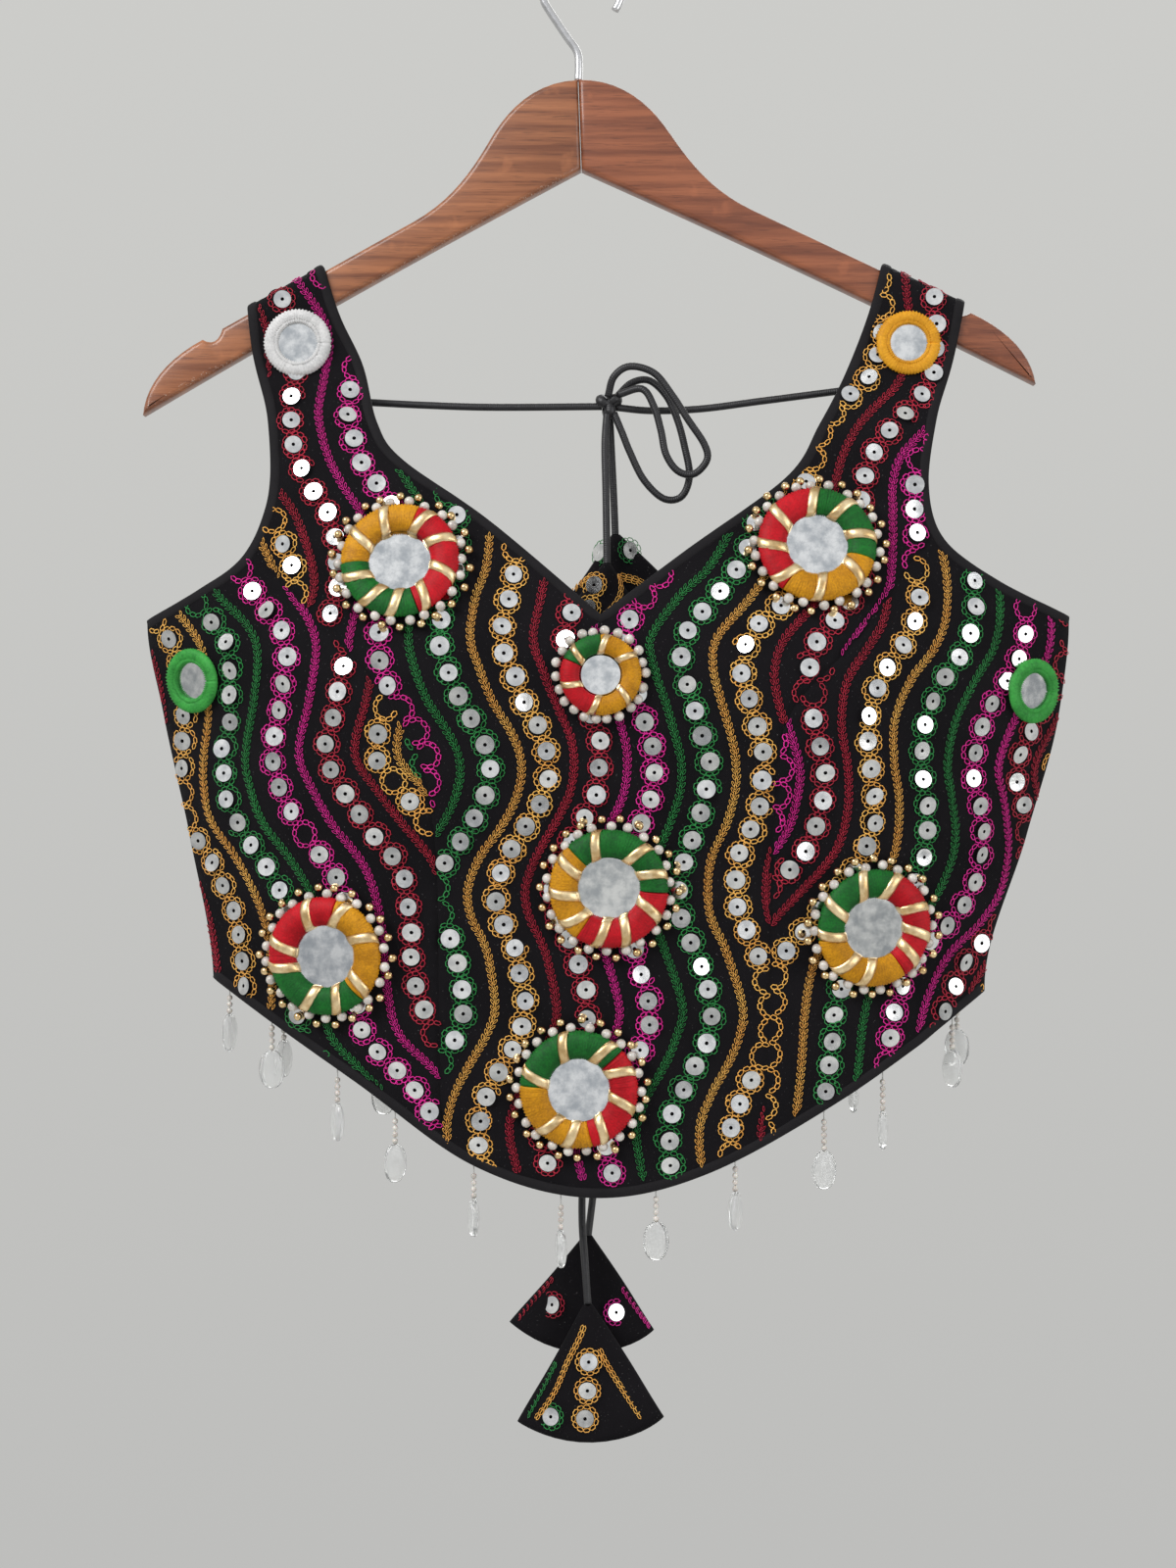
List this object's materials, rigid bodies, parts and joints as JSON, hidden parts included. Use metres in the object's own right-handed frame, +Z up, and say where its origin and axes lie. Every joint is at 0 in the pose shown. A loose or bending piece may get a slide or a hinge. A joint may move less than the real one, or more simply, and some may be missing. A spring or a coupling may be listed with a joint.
{
  "type": "choli blouse on a wooden clothes hanger",
  "caption": "Sleeveless black choli blouse with coloured wavy embroidery, round mirror rosettes, shell drops and tied cords, hanging on a wooden hanger with a wire hook.",
  "frame": {"origin": "the inside of the hanger's hook, at the top of its curve, where it rests on a rail", "axes": "+Z up; the garment's front faces -Y; +X is to the right seen from the front"},
  "size_m": [0.4606, 0.0931, 0.7473],
  "materials": {
    "cloth": "black cotton twill, dull, under dense chain stitch",
    "binding": "black bias strip, dull",
    "cord": "black satin cord, soft sheen",
    "thread_yellow": "golden yellow stranded thread, soft sheen",
    "thread_red": "maroon red stranded thread, soft sheen",
    "thread_pink": "magenta stranded thread, soft sheen",
    "thread_green": "deep green stranded thread, soft sheen",
    "ring_thread": "rings wound in mustard, red and green thread",
    "ribbon": "gold foil ribbon, metallic",
    "sequin": "cupped silver sequin",
    "mirror": "small silvered glass disc",
    "pearl": "white imitation pearl, nacreous",
    "bead": "gold coloured bead, metallic",
    "shell": "small milky shell-shaped drop, translucent and glossy",
    "wood_light": "red-brown lacquered beech, gloss",
    "wood_red": "darker red-brown lacquered beech, gloss",
    "steel": "plated wire, bright"
  },
  "bodies": {
    "root": {"front_centre": "cloth", "front_side_left": "cloth", "front_side_right": "cloth", "back_left": "cloth", "back_right": "cloth", "binding_neck_front": "binding", "binding_armhole_front_left": "binding", "binding_armhole_front_right": "binding", "binding_hem_front": "binding", "binding_armhole_back_left": "binding", "binding_armhole_back_right": "binding", "binding_back_left": "binding", "binding_back_right": "binding", "rosette_bust_left": "ring_thread", "rosette_bust_right": "ring_thread", "rosette_centre_small": "ring_thread", "rosette_middle": "ring_thread", "rosette_side_left": "ring_thread", "rosette_side_right": "ring_thread", "rosette_hem": "ring_thread", "mirror_button_strap_left": "ring_thread", "mirror_button_strap_right": "ring_thread", "mirror_button_side_left": "ring_thread", "mirror_button_side_right": "ring_thread", "drop_front_1": "shell", "drop_front_2": "shell", "drop_front_3": "shell", "drop_front_4": "shell", "drop_front_5": "shell", "drop_front_6": "shell", "drop_front_7": "shell", "drop_front_8": "shell", "drop_front_9": "shell", "drop_front_10": "shell", "drop_front_11": "shell", "drop_back_1": "shell", "drop_back_2": "shell", "drop_back_3": "shell", "drop_back_4": "shell", "drop_back_5": "shell", "drop_back_6": "shell", "tie_upper_left": "cord", "tie_upper_right": "cord", "tie_loop_front": "cord", "tie_loop_back": "cord", "tie_strand_front": "cord", "tie_strand_back": "cord", "tie_lower_front": "cord", "tie_lower_back": "cord", "tie_upper_knot": "cord", "tie_lower_knot": "cord", "latkan_upper_back": "cloth", "latkan_upper_front": "cloth", "latkan_lower_back": "cloth", "latkan_lower_front": "cloth", "hanger_arm_left": "wood_light", "hanger_arm_right": "wood_red", "hanger_hook": "steel"}
  },
  "joints": []
}
